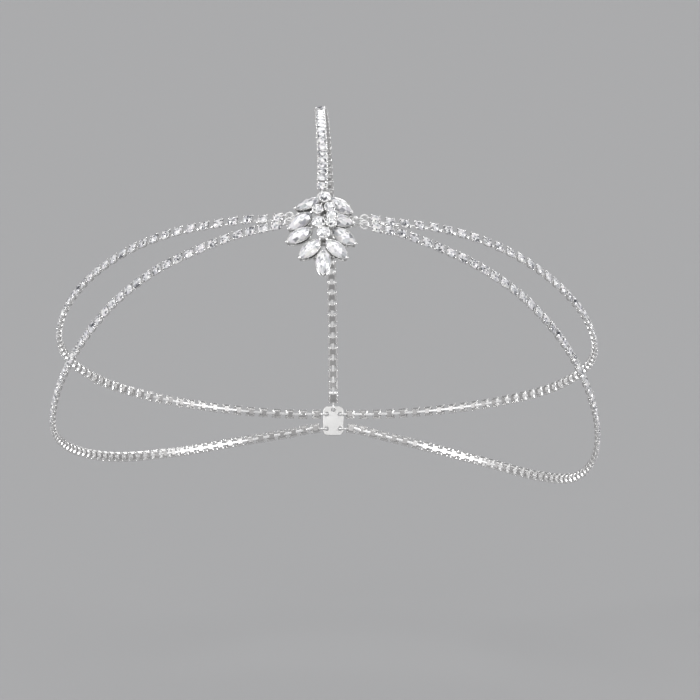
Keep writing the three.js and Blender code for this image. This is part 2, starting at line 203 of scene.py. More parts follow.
# "bright" is the metal's own colour, and "shade" the colour of painted shade between and under the stones.
silverLooks = {
    "platedCups": {
        "bright": (0.96, 0.955, 0.945), "shade": (0.28, 0.27, 0.27),
        "metallic": 0.75, "roughness": 0.13, "roughnessSpread": 0.16,
        "blotchScale": 420, "scratchScale": 5200, "scratchDepth": 0.35,
    },
    "platedWire": {
        "bright": (0.98, 0.975, 0.97), "shade": (0.45, 0.44, 0.44),
        "metallic": 0.55, "roughness": 0.24, "roughnessSpread": 0.14,
        "blotchScale": 420, "scratchScale": 5200, "scratchDepth": 0.25,
    },
    "brushedPlate": {
        "bright": (0.74, 0.735, 0.725), "shade": (0.45, 0.44, 0.43),
        "metallic": 0.9, "roughness": 0.30, "roughnessSpread": 0.18,
        "blotchScale": 260, "scratchScale": 3600, "scratchDepth": 0.6,
    },
}
# How the metal is marked: painted shade where it lies deep, between and under the stones, and its own blotchy
# wear and scratches.
silverWearAndPaintedShade = {
    "recess": 0.85, "blotch": 0.22,     # how far each shades the metal
    "lift": 0.08,                      # taken off the two together
    "recessRoughness": 0.2, "blotchDetail": 3.0, "scratchDetail": 2.0,
    "grain": (1.0, 0.12, 1.0),          # scratches run long in Y
    "scratchHeight": 0.00002,
}


def makeSilver(name):
    look, wearAndShade = silverLooks[name], silverWearAndPaintedShade
    material, shader, start = newMaterial(name)
    place = start.node("ShaderNodeTexCoord", out="Object")
    recess = readFloat(start, "recess")
    blotch = noise(start, place, look["blotchScale"], wearAndShade["blotchDetail"])
    stretched = start.node("ShaderNodeMapping", inputs={"Vector": place, "Scale": wearAndShade["grain"]})
    scratch = noise(start, stretched, look["scratchScale"], wearAndShade["scratchDetail"])
    # painted shade in the hollows, with random blotches of wear, pulls the colour from "bright" towards
    # "shade"
    paintedShadeAndBlotch = recess * wearAndShade["recess"] + blotch * wearAndShade["blotch"] - wearAndShade["lift"]
    colour = start.node("ShaderNodeMix", {"data_type": "RGBA", "clamp_factor": True},
                        {0: paintedShadeAndBlotch, 6: (*look["bright"], 1), 7: (*look["shade"], 1)}, out=2)
    roughness = look["roughness"] + blotch * look["roughnessSpread"] + recess * wearAndShade["recessRoughness"]
    bump = start.node("ShaderNodeBump", inputs={"Height": scratch, "Strength": look["scratchDepth"],
                                                "Distance": wearAndShade["scratchHeight"]})
    start.feed(shader, {
        "Base Color": colour, "Roughness": roughness, "Normal": bump, "Metallic": look["metallic"],
    })
    return material


# "tones" gives the share of facets up to each tone, darkest first, as painted reflections, and "underside"
# how bright the back is.
crystalLooks = {
    "leafCrystal": {
        "tones": [(0.00, (0.20, 0.20, 0.21)), (0.14, (0.42, 0.42, 0.44)), (0.32, (0.68, 0.68, 0.71)),
                  (0.56, (0.87, 0.87, 0.89)), (1.00, (0.99, 0.99, 0.98))],
        "underside": 0.12, "tint": 0.06, "metallic": 0.05, "roughness": 0.12, "coat": 1.0,
    },
    "cutCrystal": {
        "tones": [(0.00, (0.05, 0.05, 0.06)), (0.16, (0.26, 0.26, 0.28)), (0.34, (0.60, 0.60, 0.63)),
                  (0.56, (0.88, 0.88, 0.90)), (1.00, (1.0, 1.0, 0.99))],
        "underside": 0.12, "tint": 0.05, "metallic": 0.06, "roughness": 0.12, "coat": 1.0,
    },
}
crystalSurface = {
    "facetKey": 7.31, "stoneKey": 91.7,     # together they pick each facet's tone
    "depthScale": 1900.0, "depthDetail": 1.0, "depthSpread": 0.05,
    "coatRoughness": 0.02, "coatIor": 1.6,
}


def makeCrystal(name):
    look, surface = crystalLooks[name], crystalSurface
    material, shader, start = newMaterial(name)
    facet, stone, under = (readFloat(start, attribute) for attribute in ("facet", "stone", "underside"))
    key = start.node("ShaderNodeCombineXYZ",
                     inputs={"X": facet * surface["facetKey"], "Y": stone * surface["stoneKey"]})
    # Each facet takes a tone at random: painted reflections, the light and dark patches of a cut stone;
    # "tint" adds a faint painted fire of colour.
    chance = start.node("ShaderNodeTexWhiteNoise", {"noise_dimensions": "2D"}, {"Vector": key})
    tone = start.node("ShaderNodeValToRGB", {"stops": look["tones"]}, {"Fac": chance})
    tint = start.node("ShaderNodeMix", {"data_type": "RGBA", "blend_type": "MULTIPLY"},
                      {0: look["tint"], 6: tone, 7: chance.output("Color")}, out=2)
    # The back is darkened: partly its dark foil, partly painted shade in the gaps under the rims.
    level = 1 - under * (1 - look["underside"])
    colour = start.node("ShaderNodeVectorMath", {"operation": "SCALE"}, {0: tint, "Scale": level})
    place = start.node("ShaderNodeTexCoord", out="Object")
    depth = noise(start, place, surface["depthScale"], surface["depthDetail"])
    roughness = look["roughness"] + depth * surface["depthSpread"]
    start.feed(shader, {
        "Base Color": colour, "Roughness": roughness, "Metallic": look["metallic"],
        "Coat Weight": look["coat"], "Coat Roughness": surface["coatRoughness"],
        "Coat IOR": surface["coatIor"],
    })
    return material


silver = makeSilver("platedCups")
linkSilver = makeSilver("platedWire")
plateSilver = makeSilver("brushedPlate")
crystal = makeCrystal("cutCrystal")
leafCrystal = makeCrystal("leafCrystal")
print("finishes made")


def newPiece(name, mesh, material, replaced):
    piece = bpy.data.objects.new(name, mesh)
    bpy.context.scene.collection.objects.link(piece)
    if not mesh.materials:
        mesh.materials.append(material)
    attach(piece, "root")
    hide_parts(*replaced)
    return piece


def turnsOf(count):
    return [2 * math.pi * k / count for k in range(count)]


def spoke(turn):
    return Vector((math.cos(turn), math.sin(turn), 0))


def closeLoops(form, loops, capped=True, smooth=True):
    # Skins a run of equal loops of points, from the first to the last, or round to the first again.
    rings = [[form.verts.new(point) for point in loop] for loop in loops]
    count = len(rings[0])
    pairs = zip(rings, rings[1:]) if capped else zip(rings, rings[1:] + rings[:1])
    for low, high in pairs:
        for i in range(count):
            j = (i + 1) % count
            form.faces.new((low[i], low[j], high[j], high[i])).smooth = smooth
    if capped:
        form.faces.new(rings[0][::-1]).smooth = False
        form.faces.new(rings[-1]).smooth = False


def addWire(form, path, radius, sides=10, closed=False, flat=1.0, side=None):
    # A round wire along a path. `flat` widens it along `side`, and one radius may be given for each point.
    count = len(path)
    radii = radius if isinstance(radius, (list, tuple)) else [radius] * count
    loops = []
    across = None
    for i, point in enumerate(path):
        before = path[i - 1] if i or closed else path[0]
        after = path[(i + 1) % count] if i < count - 1 or closed else path[-1]
        ahead = (after - before).normalized()
        guide = side or across or ahead.orthogonal()
        across = (guide - ahead * guide.dot(ahead)).normalized()
        other = ahead.cross(across)
        loops.append([
            point + (across * math.cos(a) * flat + other * math.sin(a)) * radii[i] for a in turnsOf(sides)
        ])
    closeLoops(form, loops, capped=not closed)


def addBall(form, centre, radius):
    made = bmesh.ops.create_icosphere(form, subdivisions=2, radius=radius, matrix=Matrix.Translation(centre))
    for face in {f for v in made["verts"] for f in v.link_faces}:
        face.smooth = True


def finishMesh(name, form, matrix=None):
    bmesh.ops.remove_doubles(form, verts=form.verts, dist=1e-7)
    bmesh.ops.recalc_face_normals(form, faces=form.faces)
    mesh = bpy.data.meshes.new(name)
    form.to_mesh(mesh)
    form.free()
    if matrix is not None:
        mesh.transform(matrix)
    return mesh


def setFloat(mesh, name, domain, values):
    attribute = mesh.attributes.new(name, "FLOAT", domain)
    attribute.data.foreach_set("value", values)


def markPaintedShade(mesh, shadeOf):
    # How much painted shade each point of a metal mesh gets, from 0 to 1: how deep in the shade it lies.
    setFloat(mesh, "recess", "POINT", [min(1.0, max(0.0, shadeOf(v.co))) for v in mesh.vertices])


def brilliant(outline, cut, fine=False):
    # A brilliant cut on any outline: table, stars, kites and girdle halves over a plain tapered back.
    form = bmesh.new()

    def ringOf(count, share, z, turn=0.0):
        places = [outline((i + turn) / count % 1) for i in range(count)]
        return [form.verts.new((x * share, y * share, z)) for x, y in places]

    table = ringOf(8, cut["tableShare"], cut["table"])
    middle = ringOf(8, cut["middleShare"], cut["middle"], 0.5)
    girdle = ringOf(16, 1.0, cut["girdle"])
    under = ringOf(16, 1.0, cut["girdle"] - cut["band"])
    back = ringOf(16, cut["backShare"], cut["back"])
    centre = form.verts.new((0, 0, cut["table"]))
    if fine:
        # the back's facets, seen through the table, as shallow ones on it
        inner = ringOf(8, cut["tableShare"] * cut["innerShare"], cut["table"] + cut["ripple"], 0.5)
        for i in range(8):
            form.faces.new((centre, inner[i - 1], inner[i]))
            form.faces.new((inner[i - 1], table[i], inner[i]))
            form.faces.new((inner[i], table[i], table[(i + 1) % 8]))
    else:
        for i in range(8):
            form.faces.new((centre, table[i], table[(i + 1) % 8]))
    for i in range(8):
        j = (i + 1) % 8
        form.faces.new((table[i], middle[i], table[j]))
        form.faces.new((table[i], middle[i - 1], girdle[2 * i], middle[i]))
        form.faces.new((middle[i], girdle[2 * i], girdle[2 * i + 1]))
        form.faces.new((middle[i], girdle[2 * i + 1], girdle[(2 * i + 2) % 16]))
    for i in range(16):
        j = (i + 1) % 16
        form.faces.new((girdle[i], under[i], under[j], girdle[j]))
        form.faces.new((under[i], back[i], back[j], under[j]))
    form.faces.new(back)
    return form


def cutMesh(name, form, cut, matrix=None, stone=None):
    # Numbers the facets, and marks those below the girdle as the back.
    mesh = finishMesh(name, form)
    setFloat(mesh, "facet", "FACE", [float(i + 1) for i in range(len(mesh.polygons))])
    lowest = cut["girdle"] - 0.6 * cut["band"]      # just under the middle of the girdle's band
    setFloat(mesh, "underside", "FACE", [float(face.center.z < lowest) for face in mesh.polygons])
    if stone is not None:
        setFloat(mesh, "stone", "POINT", [stone] * len(mesh.vertices))
    if matrix is not None:
        mesh.transform(matrix)
    return mesh


def roundOutline(radius, start):
    def outline(share):
        turn = 2 * math.pi * share + start
        return (radius * math.cos(turn), radius * math.sin(turn))

    return outline


def squareOutline(half, bulge=3.2):
    # Between a circle and a square, with its corners out along the diagonals.
    def outline(share):
        turn = 2 * math.pi * share
        x, y = math.cos(turn), math.sin(turn)
        reach = half / (abs(x)**bulge + abs(y)**bulge)**(1 / bulge)
        return (reach * x, reach * y)

    return outline


# The head's oval form, which the strands lie on, and the leaning plane of the ornament, in millimetres.
headForm = {"halfWidth": 78.8, "halfLength": 95.8, "height": 84.8, "power": 2.13, "centreZ": 0.85 - 84.8}

ornamentPlace = {"x": 1.2, "y": -75.1, "z": -29.85, "lean": 42.0}
ornamentMatrix = (
    Matrix.Translation(Vector((ornamentPlace["x"], ornamentPlace["y"], ornamentPlace["z"])) * mm)
    @ Matrix.Rotation(math.radians(90 - ornamentPlace["lean"]), 4, "X")
    @ Matrix.Scale(mm, 4)
)

# The rings and eyes. Heights are from the ornament's back plane, and angles in degrees.
linkSizes = {
    "ringRadius": 1.12, "ringWire": 0.27,
    "eyeRadius": 0.70, "eyeWire": 0.22, "eyeSeat": 0.67,
    "backEyeRadius": 1.0, "backEyeWire": 0.26, "backEyeSink": 0.22,
    "upperRing": 0.1, "lowerRing": 0.8, "crestRing": 0.5,
    "pair": 1.2,                # half the distance between the two rings of a side
    "shade": 0.1,
    "face": 30.0, "turn": 8.0, "eyeAngle": 18.0, "fall": 11.0,
}
tabs = {
    "left": {"side": -1, "across": 9.2, "up": 4.7},
    "right": {"side": 1, "across": 10.8, "up": 3.9},
}
crestRing = {"across": -0.6, "up": 12.6}

plateSizes = {
    "drop": 102.0, "halfWidth": 3.2, "halfHeight": 4.6, "corner": 1.4,
    "thickness": 0.9, "bevel": 0.15, "hole": 0.65,
}
plateHoles = {
    "left_upper": (2.1, 2.1), "left_lower": (2.1, -2.5),
    "right_upper": (-2.1, 2.1), "right_lower": (-2.1, -2.5),
    "crown": (0.0, 3.5),
}

# Turn from the front in degrees, and the drop below the top of the form on the left (-X) and right.
lowerRoute = [
    (20, 31.0, 30.6), (30, 35.5, 35.0), (40, 41.4, 41.1), (50, 50.5, 49.9), (60, 62.9, 62.2),
    (70, 75.8, 76.4), (80, 87.2, 89.3), (92, 95.5, 101.5), (106, 102.5, 110.0), (122, 107.5, 113.0),
    (140, 109.0, 112.0), (158, 107.5, 108.8), (171, 105.4, 105.6),
]
upperRoute = [
    (20, 27.4, 28.1), (30, 29.2, 29.6), (40, 31.7, 32.5), (50, 35.8, 37.1), (60, 41.8, 43.6),
    (70, 49.3, 51.7), (80, 57.6, 60.1), (92, 67.0, 69.2), (106, 76.5, 78.0), (122, 85.5, 86.4),
    (140, 93.0, 93.4), (158, 98.0, 98.1), (171, 99.8, 99.8),
]
# Arc from the front over the top to the back, and X.
crownRoute = [
    (58, 0.4), (68, -0.3), (78, -1.0), (90, -1.6), (105, -1.6), (120, -1.3), (135, -1.0),
    (150, -0.7), (165, -0.4), (180, -0.1), (186, 0.0),
]
leadIn = 3.0    # how far each end of a route runs straight


def formPoint(turn, drop):
    height = headForm["height"] - drop
    reach = (1 - abs(height / headForm["height"]) ** headForm["power"]) ** (1 / headForm["power"])
    return Vector((
        headForm["halfWidth"] * reach * math.sin(math.radians(turn)),
        -headForm["halfLength"] * reach * math.cos(math.radians(turn)),
        headForm["centreZ"] + height,
    )) * mm


def crownPoint(arc, x):
    def flat(value):
        return math.copysign(abs(value) ** (2 / headForm["power"]), value)

    return Vector((
        x,
        -headForm["halfLength"] * flat(math.cos(math.radians(arc))),
        headForm["centreZ"] + headForm["height"] * flat(math.sin(math.radians(arc))),
    )) * mm


def formNormal(point):
    x, y = point.x / mm / headForm["halfWidth"], point.y / mm / headForm["halfLength"]
    z = (point.z / mm - headForm["centreZ"]) / headForm["height"]
    level = math.hypot(x, y) ** (headForm["power"] - 2)
    rise = math.copysign(abs(z) ** (headForm["power"] - 1), z)
    return Vector((
        level * x / headForm["halfWidth"], level * y / headForm["halfLength"], rise / headForm["height"],
    )).normalized()


def smoothRoute(points, perSpan=12):
    # A centripetal spline through the points.
    first, last = points[0] * 2 - points[1], points[-1] * 2 - points[-2]
    run = [first, *points, last]
    line = []
    for a, b, c, d in zip(run, run[1:], run[2:], run[3:]):
        ab, bc, cd = ((q - p).length ** 0.5 for p, q in ((a, b), (b, c), (c, d)))
        leave = ((b - a) / ab - (c - a) / (ab + bc) + (c - b) / bc) * bc
        arrive = ((c - b) / bc - (d - b) / (bc + cd) + (d - c) / cd) * bc
        for k in range(perSpan):
            t = k / perSpan
            line.append(
                b * (2 * t**3 - 3 * t**2 + 1) + leave * (t**3 - 2 * t**2 + t)
                + c * (3 * t**2 - 2 * t**3) + arrive * (t**3 - t**2)
            )
    return [*line, points[-1]]


def linkMatrix(tab, sign):
    # Where a side ring lies: sign 1 is the upper ring, -1 the lower.
    s = linkSizes
    height = s["upperRing"] if sign > 0 else s["lowerRing"]
    return (
        ornamentMatrix
        @ Matrix.Translation((tab["side"] * tab["across"], tab["up"] + sign * s["pair"], height))
        @ Matrix.Rotation(math.radians(tab["side"] * s["turn"]), 4, "Y")
        @ Matrix.Rotation(math.radians(s["face"]), 4, "X")
    )


crestPlace = (crestRing["across"], crestRing["up"], linkSizes["crestRing"])
crestMatrix = ornamentMatrix @ Matrix.Translation(crestPlace)


def turned(matrix, direction):
    return (matrix.to_3x3() @ Vector(direction)).normalized()


def plateMatrix():
    centre = formPoint(180, plateSizes["drop"])
    out = formNormal(centre)
    across = Vector((-1, 0, 0))
    up = out.cross(across)
    facing = Matrix((across, up, out)).transposed().to_4x4()
    return Matrix.Translation(centre) @ facing @ Matrix.Scale(mm, 4)


def ringEnd(matrix, angle, away):
    # The front end of a strand: its eye on a ring, the eye's axis, and where the chain starts and heads.
    s = linkSizes
    eye = matrix @ (spoke(angle) * s["ringRadius"])
    points = [eye + away * gap * mm for gap in (s["eyeSeat"], s["eyeSeat"] + leadIn)]
    return {"eye": eye, "axis": turned(matrix, (-math.sin(angle), math.cos(angle), 0)), "points": points}


def plateEnd(hole):
    # The back end of a strand: its eye in a hole of the plate, and where the chain ends.
    s = linkSizes
    across, up = plateHoles[hole]
    if across:
        edge, rim = Vector((math.copysign(1, across), 0, 0)), plateSizes["halfWidth"]
        beside, axis = Vector((0, up, 0)), (0, 1, 0)
    else:
        edge, rim = Vector((0, 1, 0)), plateSizes["halfHeight"]
        beside, axis = Vector((0, 0, 0)), (1, 0, 0)
    eye = edge * (rim - s["backEyeSink"]) + beside
    matrix = plateMatrix()
    points = [matrix @ (eye + edge * gap) for gap in (s["backEyeRadius"] + leadIn, s["backEyeRadius"])]
    return {"eye": matrix @ eye, "axis": turned(matrix, axis), "points": points}


def strandEnds(name):
    if name == "crown":
        return ringEnd(crestMatrix, math.pi / 2, turned(ornamentMatrix, (0, 1, 0))), plateEnd("crown")
    sideName, tier = name.split("_")
    tab, sign = tabs[sideName], 1 if tier == "upper" else -1
    angle, fall = (math.radians(linkSizes[key]) for key in ("eyeAngle", "fall"))
    angle = sign * angle if tab["side"] > 0 else math.pi - sign * angle
    tilt = Matrix.Rotation(math.radians(tab["side"] * linkSizes["turn"]), 3, "Y")
    away = turned(ornamentMatrix, tilt @ Vector((tab["side"] * math.cos(fall), -math.sin(fall), 0)))
    return ringEnd(linkMatrix(tab, sign), angle, away), plateEnd(name)


def strandRoute(name):
    front, back = strandEnds(name)
    if name == "crown":
        middle = [crownPoint(arc, x) for arc, x in crownRoute]
    else:
        sideName, tier = name.split("_")
        table = upperRoute if tier == "upper" else lowerRoute
        column = 1 if sideName == "left" else 2
        middle = [formPoint(tabs[sideName]["side"] * row[0], row[column]) for row in table]
    return smoothRoute([*front["points"], *middle, *back["points"]])


chainSizes = {
    # "edge" is from an end of the route to the middle of the nearest cup
    "upper": {"pitch": 4.30, "cup": 2.85, "edge": 1.35},
    "lower": {"pitch": 3.66, "cup": 2.95, "edge": 1.75},
    "crown": {"pitch": 3.60, "cup": 3.0, "edge": 1.5},
    "wobble": 2.5,            # degrees by which single stones sit askew
    "seed": 11, "stoneSeed": 5,
}
# A cup, up from its foot over the lip and down inside: share of the half width, corners' chamfer, height.
cupProfile = [
    (0.50, 0.12, -0.82), (0.62, 0.14, -0.46), (0.97, 0.20, 0.02),
    (0.97, 0.20, 0.16), (0.88, 0.20, 0.16), (0.45, 0.12, -0.25),
]
# A claw: share of the half width out along the corner, height, half width, half thickness.
cupClaw = [
    (1.04, -0.34, 0.17, 0.09), (1.27, 0.02, 0.25, 0.10), (1.31, 0.27, 0.26, 0.10),
    (1.19, 0.50, 0.22, 0.09), (0.93, 0.64, 0.11, 0.05),
]
clawForm = {"flat": 0.6, "leanAbove": 0.4, "lean": 1.2}     # "flat" is a share of its width
# Painted shade on a cup's walls below "lip": "at" at height zero, and "rise" more for each millimetre down.
cupShade = {"lip": 0.14, "at": 0.15, "rise": 0.75}
linkBar = {"inset": 0.5, "sink": 0.58, "shoulder": 0.25, "end": (0.24, 0.50), "waist": (0.17, 0.36)}
barCorners = [(1, 0.5), (0.5, 1), (-0.5, 1), (-1, 0.5), (-1, -0.5), (-0.5, -1), (0.5, -1), (1, -0.5)]
chainCut = {
    "table": 0.78, "tableShare": 0.56, "middle": 0.55, "middleShare": 0.82, "girdle": 0.22, "band": 0.06,
    "back": -0.45, "backShare": 0.3,
}


def chamferedSquare(half, chamfer, z):
    inner = half - chamfer
    corners = [(half, inner), (inner, half), (-inner, half), (-half, inner),
               (-half, -inner), (-inner, -half), (inner, -half), (half, -inner)]
    return [Vector((x, y, z)) for x, y in corners]


def cupUnit(width):
    # One square cup with a claw at each corner, in millimetres: X along the chain, Z away from the head.
    half = width / 2
    form = bmesh.new()
    loops = [chamferedSquare(share * half, chamfer, z) for share, chamfer, z in cupProfile]
    closeLoops(form, loops, smooth=False)
    for corner in range(4):
        away = spoke(math.radians(45 + 90 * corner))
        aside = Vector((-away.y, away.x, 0))
        loops = []
        for reach, z, halfWide, halfThick in cupClaw:
            middle = away * reach * half + Vector((0, 0, z))
            lean = clawForm["lean"] * (z > clawForm["leanAbove"])
            thick = (away + Vector((0, 0, lean))).normalized() * halfThick
            side = aside * halfWide
            flat = side * clawForm["flat"]
            loops.append([middle + side, middle + flat + thick, middle - flat + thick,
                          middle - side, middle - flat - thick, middle + flat - thick])
        closeLoops(form, loops)
    mesh = finishMesh("cup", form)
    markPaintedShade(mesh, lambda co: cupShade["at"] - cupShade["rise"] * co.z if co.z < cupShade["lip"] else 0.0)
    return mesh


def linkUnit(pitch):
    # The flat bar between two cups, thicker where it is let into them.
    form = bmesh.new()
    reach = pitch / 2 - linkBar["inset"]
    waist = reach - linkBar["shoulder"]
    loops = []
    for x, part in ((-reach, "end"), (-waist, "waist"), (waist, "waist"), (reach, "end")):
        high, wide = linkBar[part]
        loops.append([Vector((x, y * wide, z * high - linkBar["sink"])) for y, z in barCorners])
    closeLoops(form, loops, smooth=False)
    mesh = finishMesh("link", form)
    markPaintedShade(mesh, lambda co: 0.0)
    return mesh


def chainStoneUnit(width):
    return cutMesh("chainStone", brilliant(squareOutline(0.5 * width), chainCut), chainCut)


def makeAlongRoute():
    # Sets copies of a unit evenly along a route, each turned to follow it and to face away from the head.
    tree = bpy.data.node_groups.new("alongRoute", "GeometryNodeTree")
    sockets = {"Route": "Geometry", "Unit": "Object", "Material": "Material", "Count": "Int",
               "First": "Float", "Last": "Float", "Size": "Float", "Wobble": "Float", "Seed": "Int"}
    for name, kind in sockets.items():
        tree.interface.new_socket(name, in_out="INPUT", socket_type="NodeSocket" + kind)
    tree.interface.new_socket("Geometry", in_out="OUTPUT", socket_type="NodeSocketGeometry")
    start = Socket(tree)
    given = start.node("NodeGroupInput")
    curve = start.node("GeometryNodeMeshToCurve", inputs={"Mesh": given.output("Route")})
    length = start.node("GeometryNodeCurveLength", inputs={"Curve": curve})
    trimmed = start.node("GeometryNodeTrimCurve", {"mode": "LENGTH"},
                         {"Curve": curve, 4: given.output("First"), 5: length - given.output("Last")})
    spaced = start.node("GeometryNodeResampleCurve", {"mode": "COUNT"},
                        {"Curve": trimmed, "Count": given.output("Count")})
    outward = start.node("GeometryNodeInputNamedAttribute", {"data_type": "FLOAT_VECTOR"},
                         {"Name": "outward"})
    along = start.node("FunctionNodeAlignRotationToVector", {"axis": "X"},
                       {"Vector": start.node("GeometryNodeInputTangent")})
    facing = start.node("FunctionNodeAlignRotationToVector", {"axis": "Z", "pivot_axis": "X"},
                        {"Rotation": along, "Vector": outward})
    swing = start.node("FunctionNodeRandomValue", {"data_type": "FLOAT_VECTOR"},
                       {0: (-1, -1, -1), 1: (1, 1, 1), "Seed": given.output("Seed")})
    swung = start.node("ShaderNodeVectorMath", {"operation": "SCALE"},
                       {0: swing, "Scale": given.output("Wobble")})
    askew = start.node("FunctionNodeEulerToRotation", inputs={"Euler": swung})
    posed = start.node("FunctionNodeRotateRotation", {"rotation_space": "LOCAL"},
                       {"Rotation": facing, "Rotate By": askew})
    unit = start.node("GeometryNodeObjectInfo", inputs={"Object": given.output("Unit")}, out="Geometry")
    placed = start.node("GeometryNodeInstanceOnPoints",
                        inputs={"Points": spaced, "Instance": unit, "Rotation": posed,
                                "Scale": given.output("Size")})
    number = start.node("FunctionNodeRandomValue", {"data_type": "FLOAT"},
                        {2: 0.0, 3: 1.0, "Seed": chainSizes["stoneSeed"]}, out=1)
    tagged = start.node("GeometryNodeStoreNamedAttribute", {"data_type": "FLOAT", "domain": "INSTANCE"},
                        {"Geometry": placed, "Name": "stone", "Value": number})
    whole = start.node("GeometryNodeRealizeInstances", inputs={"Geometry": tagged})
    finished = start.node("GeometryNodeSetMaterial",
                          inputs={"Geometry": whole, "Material": given.output("Material")})
    start.node("NodeGroupOutput", inputs={"Geometry": finished})
    return tree


alongRoute = makeAlongRoute()


def unitObject(mesh):
    holder = bpy.data.objects.new(mesh.name + "Unit", mesh)
    bpy.context.scene.collection.objects.link(holder)
    holder.hide_render = True
    holder.hide_viewport = True
    return holder


def routeObject(points):
    mesh = bpy.data.meshes.new("route")
    mesh.from_pydata(points, [(i, i + 1) for i in range(len(points) - 1)], [])
    attribute = mesh.attributes.new("outward", "FLOAT_VECTOR", "POINT")
    attribute.data.foreach_set("vector", [c for point in points for c in formNormal(point)])
    holder = bpy.data.objects.new("route", mesh)
    bpy.context.scene.collection.objects.link(holder)
    return holder


def spread(name, route, unit, material, count, first, wobble=0.0):
    # Runs alongRoute on the route and keeps its result as a plain mesh.
    modifier = route.modifiers.new("alongRoute", "NODES")
    modifier.node_group = alongRoute
    values = {"Unit": unit, "Material": material, "Count": count, "First": first * mm, "Last": first * mm,
              "Size": mm, "Wobble": math.radians(wobble), "Seed": chainSizes["seed"]}
    for item in alongRoute.interface.items_tree:
        if item.name in values:
            modifier[item.identifier] = values[item.name]
    graph = bpy.context.evaluated_depsgraph_get()
    mesh = bpy.data.meshes.new_from_object(route.evaluated_get(graph))
    mesh.name = name
    route.modifiers.remove(modifier)
    return mesh


def makeStrand(name):
    tier = "crown" if name == "crown" else name.split("_")[1]
    sizes = chainSizes[tier]
    points = strandRoute(name)
    length = sum((b - a).length for a, b in zip(points, points[1:])) / mm
    edge = sizes["edge"]
    count = round((length - 2 * edge) / sizes["pitch"]) + 1
    pitch = (length - 2 * edge) / (count - 1)
    route = routeObject(points)
    meshes = (cupUnit(sizes["cup"]), linkUnit(pitch), chainStoneUnit(sizes["cup"]))
    cup, link, stone = units = [unitObject(mesh) for mesh in meshes]
    cups = spread(f"cups_{name}", route, cup, silver, count, edge)
    links = spread(f"links_{name}", route, link, linkSilver, count - 1, edge + pitch / 2)
    stones = spread(f"stones_{name}", route, stone, crystal, count, edge, chainSizes["wobble"])
    node = f"strand_{name}"
    newPiece(cups.name, cups, silver, [node])
    newPiece(links.name, links, linkSilver, [node])
    newPiece(stones.name, stones, crystal, [node])
    for holder in (*units, route):
        bpy.data.objects.remove(holder)
    makeEndEyes(name, points)
    print(name, "strand:", count, "stones at", round(pitch, 2), "mm")


def addEye(form, centre, axis, around, radius, wire):
    # A closed eye of wire in the plane square to its axis.
    around = (around - axis * around.dot(axis)).normalized()
    other = axis.cross(around)
    path = [centre + (around * math.cos(a) + other * math.sin(a)) * radius for a in turnsOf(28)]
    addWire(form, path, wire, closed=True, side=axis)


# Where a stub starts inside its eye, two depths past the route's end, and how far it thickens.
eyeStub = {"overlap": 0.05, "neck": 0.4, "end": 0.9, "swell": 1.3}


def makeEndEyes(name, points):
    # The wire eye at each end, with a stub let into the outermost cup.
    form = bmesh.new()
    s = linkSizes
    front, back = strandEnds(name)
    ends = ((front, points[:2], s["eyeRadius"], s["eyeWire"]),
            (back, points[:-3:-1], s["backEyeRadius"], s["backEyeWire"]))
    for end, (first, second), radius, wire in ends:
        inward = (second - first).normalized()
        addEye(form, end["eye"], end["axis"], inward, radius * mm, wire * mm)
        stub = [end["eye"] + inward * (radius - eyeStub["overlap"]) * mm,
                first + inward * eyeStub["neck"] * mm, first + inward * eyeStub["end"] * mm]
        thick = wire * eyeStub["swell"] * mm
        addWire(form, stub, [wire * mm, thick, thick])
    mesh = finishMesh(f"eyes_{name}", form)
    markPaintedShade(mesh, lambda co: s["shade"])
    newPiece(mesh.name, mesh, linkSilver, [f"strand_{name}"])


for strandName in ("left_upper", "left_lower", "right_upper", "right_lower", "crown"):
    makeStrand(strandName)


# Insets are from the leaf's outline, and heights from the ornament's back plane.
leafSizes = {
    "length": 8.3, "width": 4.2, "tilt": 4.0, "girdle": 2.9,
    "stoneInset": 0.17, "wall": 0.14, "railTop": 2.95, "railLow": 2.62,
    "footRail": 1.3, "footWire": 0.25, "footInset": 0.36,
    "postInset": 0.08, "postFoot": 0.06, "postHead": 0.2, "postWire": 0.16,
    "shade": 0.9, "shadeEdge": 0.02,
}
# A claw at a tip: its wire from the foot rail up over the stone, and how far it goes out, over and back in.
leafClaw = {
    "wires": [0.2, 0.24, 0.30, 0.26],
    "out": 0.06, "over": 0.22, "back": 0.34, "top": 0.46,
    "tipBall": 0.42, "rootBall": 0.34, "ballOut": 0.02, "ballRise": 0.2,
}
# Across, up, the direction of the outer tip, and the roll about the leaf's length.
leaves = {
    "petal_bottom": (0.2, -11.4, -90, 0), "petal_low_left": (-3.4, -7.0, -133, 0),
    "petal_low_right": (3.6, -7.0, -46, 0), "petal_side_left": (-6.25, -2.45, -147, 0),
    "petal_side_right": (5.4, -2.75, -39, 0), "petal_high_left": (-6.2, 2.38, -140, 0),
    "petal_high_right": (4.1, 2.75, -14, 0), "petal_top_left": (-3.95, 8.2, -157, 20),
    "petal_top_right": (4.25, 7.6, -35, 0),
}
leafCut = {
    "table": 3.92, "tableShare": 0.54, "middle": 3.60, "middleShare": 0.80, "girdle": 3.05, "band": 0.10,
    "back": 1.5, "backShare": 0.84, "innerShare": 0.52, "ripple": 0.06,
}

roundSizes = {"base": 3.7, "rim": 4.95, "lip": 0.28, "shade": 0.6, "shadeTop": 0.9}
